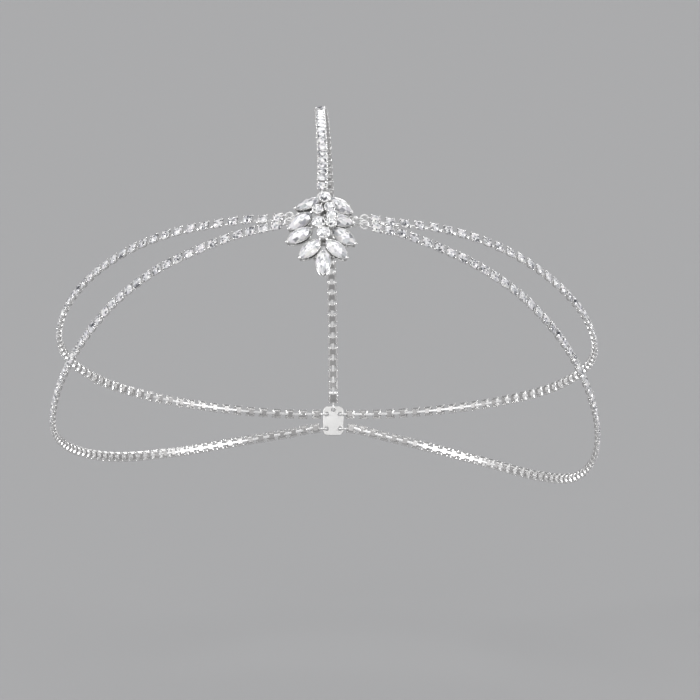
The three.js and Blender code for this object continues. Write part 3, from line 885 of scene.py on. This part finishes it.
# The cup from its foot up over the lip and down inside: the level each loop is measured from, how far it lies
# outside the stone's radius, and how far above the level.
roundProfile = [
    ("base", -0.55, 0.0), ("base", -0.14, 0.35), ("base", 0.04, 0.8), ("rim", 0.08, -0.14),
    ("rim", 0.04, 0.02), ("rim", -0.10, 0.08), ("rim", -0.28, 0.02), ("base", -0.6, 0.4),
]
roundBead = [(0.0, -0.1, 0.14), (-0.02, 0.18, 0.16), (-0.36, 0.36, 0.12)]      # outside, above the rim, wire
roundCut = {
    "table": 5.66, "tableShare": 0.56, "middle": 5.38, "middleShare": 0.80, "girdle": 5.04, "band": 0.08,
    "back": 4.4, "backShare": 0.45, "innerShare": 0.52, "ripple": 0.04,
}
# Across, up and radius.
rounds = {
    "round_crest": (0.3, 8.9, 1.65), "round_high_left": (-1.6, 4.85, 1.5),
    "round_high_right": (1.65, 5.6, 1.5), "round_mid_right": (2.4, 3.0, 1.55),
    "round_low_right": (2.2, 0.35, 1.45), "round_mid_left": (-1.2, 0.6, 1.8),
    "round_foot": (0.1, -2.95, 1.82),
}
# Each stone has a key of its own, which picks the tones of its facets and how far a round one is turned.
stoneKeys = {"leaf": 0.37, "leafStep": 1.7, "round": 0.81, "roundStep": 2.3}


def leafOutline(inset):
    # Two arcs that meet in a point at each end; share 0 is the outer tip.
    length, width = leafSizes["length"], leafSizes["width"]
    full = (length**2 + width**2) / (4 * width)
    middle = full - width / 2
    arc = full - inset
    halfTurn = math.acos(middle / arc)

    def outline(share):
        half = 1 if share < 0.5 else -1
        turn = halfTurn * (1 - 4 * (share % 0.5))
        return (half * arc * math.sin(turn), half * (arc * math.cos(turn) - middle))

    return outline


def leafLoop(inset, z, count=32):
    outline = leafOutline(inset)
    return [Vector((*outline(k / count), z)) for k in range(count)]


def ringLoop(radius, z, count=24):
    return [Vector((radius * math.cos(a), radius * math.sin(a), z)) for a in turnsOf(count)]


def leafMatrix(across, up, heading, roll):
    return (
        ornamentMatrix
        @ Matrix.Translation((across, up, 0))
        @ Matrix.Rotation(math.radians(heading), 4, "Z")
        @ Matrix.Translation((0, 0, leafSizes["girdle"]))
        @ Matrix.Rotation(math.radians(leafSizes["tilt"]), 4, "Y")
        @ Matrix.Rotation(math.radians(roll), 4, "X")
        @ Matrix.Translation((0, 0, -leafSizes["girdle"]))
    )


def leafGallery(form):
    # An open gallery: a flat rail round the stone, a round wire below, posts between, and a claw at each tip.
    s, claw = leafSizes, leafClaw
    low, high, wall = s["railLow"], s["railTop"], s["wall"]
    rail = [leafLoop(0.0, low), leafLoop(0.0, high), leafLoop(wall, high), leafLoop(wall, low)]
    closeLoops(form, rail, capped=False)
    foot = leafLoop(s["footInset"], s["footRail"])
    addWire(form, foot, s["footWire"], 8, closed=True, side=Vector((0, 0, 1)))
    upper, lower = leafOutline(s["postInset"]), leafOutline(s["footInset"] + s["postFoot"])
    for share in (1 / 8, 3 / 8, 5 / 8, 7 / 8):
        post = [Vector((*lower(share), s["footRail"])), Vector((*upper(share), low + s["postHead"]))]
        addWire(form, post, s["postWire"], 8)
    for share, end, ball in ((0.0, 1, claw["tipBall"]), (0.5, -1, claw["rootBall"])):
        tip = Vector((*upper(share), 0))
        rise = [
            Vector((*lower(share), s["footRail"])),
            tip + Vector((0, 0, low)),
            tip + Vector((end * claw["out"], 0, high + claw["over"])),
            tip + Vector((-end * claw["back"], 0, high + claw["top"])),
        ]
        addWire(form, rise, claw["wires"])
        addBall(form, tip + Vector((end * claw["ballOut"], 0, high + claw["ballRise"])), ball)


def makeLeaf(name, stoneKey):
    s = leafSizes
    matrix = leafMatrix(*leaves[name])
    cut = brilliant(leafOutline(s["stoneInset"]), leafCut, fine=True)
    stone = cutMesh(f"stone_{name}", cut, leafCut, matrix, stoneKey)
    newPiece(stone.name, stone, leafCrystal, [name])
    form = bmesh.new()
    leafGallery(form)
    mesh = finishMesh(f"gallery_{name}", form)
    # Painted shade on the posts and the gallery, deeper towards the foot; the foot wire below lowRail stays
    # bright.
    lowRail = s["footRail"] + s["footWire"] + s["shadeEdge"]
    markPaintedShade(mesh, lambda co: 0.0 if co.z < lowRail else (s["girdle"] - co.z) * s["shade"])
    mesh.transform(matrix)
    newPiece(mesh.name, mesh, silver, ["ornament_setting"])


def makeRound(name, stoneKey):
    # A smooth rolled cup round a brilliant, with four small beads of metal pressed over the stone's edge.
    s = roundSizes
    across, up, radius = rounds[name]
    matrix = ornamentMatrix @ Matrix.Translation((across, up, 0))
    outline = roundOutline(radius - s["lip"] / 2, stoneKey)
    stone = cutMesh(f"stone_{name}", brilliant(outline, roundCut, fine=True), roundCut, matrix, stoneKey)
    newPiece(stone.name, stone, crystal, [name])
    form = bmesh.new()
    closeLoops(form, [ringLoop(radius + out, s[level] + rise) for level, out, rise in roundProfile])
    for corner in range(4):
        away = spoke(math.radians(45 + 90 * corner))
        path = [away * (radius + out) + Vector((0, 0, s["rim"] + rise)) for out, rise, _ in roundBead]
        addWire(form, path, [wire for *_, wire in roundBead], 8)
    mesh = finishMesh(f"cup_{name}", form)
    # Painted shade on the cup, deeper towards its foot.
    markPaintedShade(mesh, lambda co: (s["base"] + s["shadeTop"] - co.z) * s["shade"])
    mesh.transform(matrix)
    newPiece(mesh.name, mesh, silver, ["ornament_setting"])


for number, leafName in enumerate(leaves):
    makeLeaf(leafName, stoneKeys["leaf"] + stoneKeys["leafStep"] * number)
for number, roundName in enumerate(rounds):
    makeRound(roundName, stoneKeys["round"] + stoneKeys["roundStep"] * number)
print("stones set")


frameSizes = {
    "top": 1.2, "ribWidth": 0.8,
    "spineWidth": 1.8, "spineLow": -3.9, "spineHigh": 10.9, "spineSink": 0.1,
    "post": 0.45, "postFoot": 0.4, "postHead": 0.2,
    "solder": 0.35, "solderWaist": 0.85, "solderRise": 0.5,
}
# The wires from the lowest round stone to the two leaves beside the bottom one.
footWires = {
    "across": 0.8, "up": 0.75, "rise": 0.9,     # where they start; "up" is a share of the stone's radius
    "reach": 0.1, "tipRise": 0.35, "ball": 0.3, "wires": [0.24, 0.22, 0.26],
}
# The frame gets painted shade under the stones, most at the back, and is left bright in the open, where the
# foot wires are.
frameShade = {"openUp": -3.4, "openRise": 3.0, "under": 0.5, "back": 0.15, "backTop": 0.9}
tabArm = {"length": 1.5, "width": 1.1, "crossbar": 0.8, "overrun": 0.2}
posts = ["round_crest", "round_mid_left", "round_foot"]
solders = [
    ("round_crest", "round_high_right"), ("round_crest", "round_high_left"),
    ("round_high_left", "round_high_right"), ("round_high_right", "round_mid_right"),
    ("round_mid_right", "round_low_right"), ("round_low_right", "round_mid_left"),
    ("round_mid_left", "round_high_left"), ("round_mid_left", "round_foot"),
]


def addBar(form, start, end, width, height):
    # A flat bar with rounded sides, lying on the back plane.
    start, end = (Vector((*place, height / 2)) for place in (start, end))
    side = (end - start).cross(Vector((0, 0, 1))).normalized()
    addWire(form, [start, (start + end) / 2, end], height / 2, 12, flat=width / height, side=side)


def addFootWires(form):
    w = footWires
    footAcross, footUp, radius = rounds["round_foot"]
    reach = leafSizes["length"] / 2 - w["reach"]
    for side, name in ((-1, "petal_low_left"), (1, "petal_low_right")):
        across, up, heading, _ = leaves[name]
        turn = math.radians(heading)
        start = Vector((footAcross + side * w["across"], footUp - radius * w["up"],
                        roundSizes["base"] + w["rise"]))
        tip = Vector((across - reach * math.cos(turn), up - reach * math.sin(turn),
                      leafSizes["girdle"] + w["tipRise"]))
        addWire(form, [start, start.lerp(tip, 0.5), tip], w["wires"])
        addBall(form, tip, w["ball"])


def makeFrame():
    f = frameSizes
    form = bmesh.new()
    low, high = f["spineLow"], f["spineHigh"]
    addBar(form, (0, low), (0, high), f["spineWidth"], f["top"] - f["spineSink"])
    half = f["spineWidth"] / 2
    for name, (across, up, *_) in leaves.items():
        if name == "petal_bottom":
            continue
        root = min(max(up, low + half), high - half)
        addBar(form, (0, root), (across, up), f["ribWidth"], f["top"])
    for name in ("petal_low_left", "petal_low_right"):
        addBar(form, leaves[name][:2], leaves["petal_bottom"][:2], f["ribWidth"], f["top"])
    for name in posts:
        place = rounds[name][:2]
        ends = (f["postFoot"], roundSizes["base"] + f["postHead"])
        addWire(form, [Vector((*place, z)) for z in ends], f["post"], 12)
    for pair in solders:
        a, b = (Vector((*rounds[name][:2], roundSizes["base"] + f["solderRise"])) for name in pair)
        thick = f["solder"]
        bridge = [a.lerp(b, share) for share in (0.25, 0.5, 0.75)]
        addWire(form, bridge, [thick, thick * f["solderWaist"], thick], 8)
    addFootWires(form)
    shade = frameShade

    def shadeOf(co):
        if co.y < shade["openUp"] and co.z > shade["openRise"]:
            return 0.0
        return shade["under"] + shade["back"] * (co.z < shade["backTop"])

    mesh = finishMesh("frame_back", form)
    markPaintedShade(mesh, shadeOf)
    mesh.transform(ornamentMatrix)
    newPiece(mesh.name, mesh, silver, ["ornament_setting"])


def makeTabs():
    # On each side a rib out to a crossbar, with an arm from each of its ends to the eye that holds a ring.
    s, arm = linkSizes, tabArm
    height = frameSizes["top"]
    form, eyes = bmesh.new(), bmesh.new()

    def addFrameEye(matrix, place, axis, around):
        centre = matrix @ (Vector(place) * s["ringRadius"])
        addEye(eyes, centre, turned(matrix, axis), turned(matrix, around),
               s["eyeRadius"] * mm, s["eyeWire"] * mm)

    for tab in tabs.values():
        side, up = tab["side"], tab["up"]
        armEnd = side * (tab["across"] - s["ringRadius"] - s["eyeRadius"])
        barAcross = armEnd - side * arm["length"]
        reach = s["pair"] + arm["overrun"]
        addBar(form, (0, up), (barAcross, up), frameSizes["ribWidth"], height)
        addBar(form, (barAcross, up - reach), (barAcross, up + reach), arm["crossbar"], height)
        for sign in (1, -1):
            armUp = up + sign * s["pair"]
            addBar(form, (barAcross, armUp), (armEnd, armUp), arm["width"], height)
            addFrameEye(linkMatrix(tab, sign), (-side, 0, 0), (0, 1, 0), (1, 0, 0))
    addFrameEye(crestMatrix, (0, -1, 0), (1, 0, 0), (0, 1, 0))
    for name, part, matrix in (("frame_tabs", form, ornamentMatrix), ("frame_eyes", eyes, None)):
        mesh = finishMesh(name, part, matrix)
        markPaintedShade(mesh, lambda co: s["shade"])
        newPiece(mesh.name, mesh, linkSilver, ["ornament_setting"])


makeFrame()
makeTabs()
print("frame made")


# The turn round each ring at which its wire is cut, and half the slit's angle, in radians.
ringCut = {"upper": 1.9, "lower": 4.4, "crest": 2.2, "slit": 0.03}


def makeRing(name, matrix, cutAt):
    # A jump ring, bent from wire, with its two ends just short of meeting.
    form = bmesh.new()
    slit, steps = ringCut["slit"], 40
    angles = [cutAt + slit + (2 * math.pi - 2 * slit) * k / steps for k in range(steps + 1)]
    path = [matrix @ (spoke(a) * linkSizes["ringRadius"]) for a in angles]
    addWire(form, path, linkSizes["ringWire"] * mm, 12, side=turned(matrix, (0, 0, 1)))
    mesh = finishMesh(f"jump_{name}", form)
    markPaintedShade(mesh, lambda co: 0.0)
    newPiece(mesh.name, mesh, linkSilver, [name])


for sideName, tab in tabs.items():
    for tier, sign in (("upper", 1), ("lower", -1)):
        makeRing(f"ring_{sideName}_{tier}", linkMatrix(tab, sign), ringCut[tier])
makeRing("ring_crest", crestMatrix, ringCut["crest"])


def makePlate():
    # A flat plate with rounded corners and five holes, its edges softened.
    s = plateSizes
    curve = bpy.data.curves.new("plateOutline", "CURVE")
    curve.dimensions = "2D"
    curve.fill_mode = "BOTH"
    bevel = s["bevel"]
    curve.extrude = s["thickness"] / 2 - bevel
    curve.bevel_depth = bevel
    curve.bevel_resolution = 2
    w, h, c = s["halfWidth"] - bevel, s["halfHeight"] - bevel, s["corner"] - bevel
    corners = ((w - c, h - c, 0), (-w + c, h - c, 90), (-w + c, -h + c, 180), (w - c, -h + c, 270))
    outline = [(x + c * math.cos(a), y + c * math.sin(a))
               for x, y, turn in corners for a in (math.radians(turn + 15 * k) for k in range(7))]
    loops = [outline]
    for across, up in plateHoles.values():
        radius = s["hole"] + bevel
        loops.append([(across + radius * math.cos(a), up + radius * math.sin(a)) for a in turnsOf(28)])
    for loop in loops:
        spline = curve.splines.new("POLY")
        spline.points.add(len(loop) - 1)
        spline.use_cyclic_u = True
        for point, (x, y) in zip(spline.points, loop):
            point.co = (x, y, 0, 1)
    holder = bpy.data.objects.new("plateOutline", curve)
    bpy.context.scene.collection.objects.link(holder)
    graph = bpy.context.evaluated_depsgraph_get()
    flat = bpy.data.meshes.new_from_object(holder.evaluated_get(graph))
    bpy.data.objects.remove(holder)
    form = bmesh.new()
    form.from_mesh(flat)
    bmesh.ops.remove_doubles(form, verts=form.verts, dist=0.001)
    mesh = finishMesh("plate_back", form, plateMatrix())
    mesh.materials.clear()
    markPaintedShade(mesh, lambda co: 0.0)
    newPiece("plate_back", mesh, plateSilver, ["back_plate"])


makePlate()
print("rings and plate made")
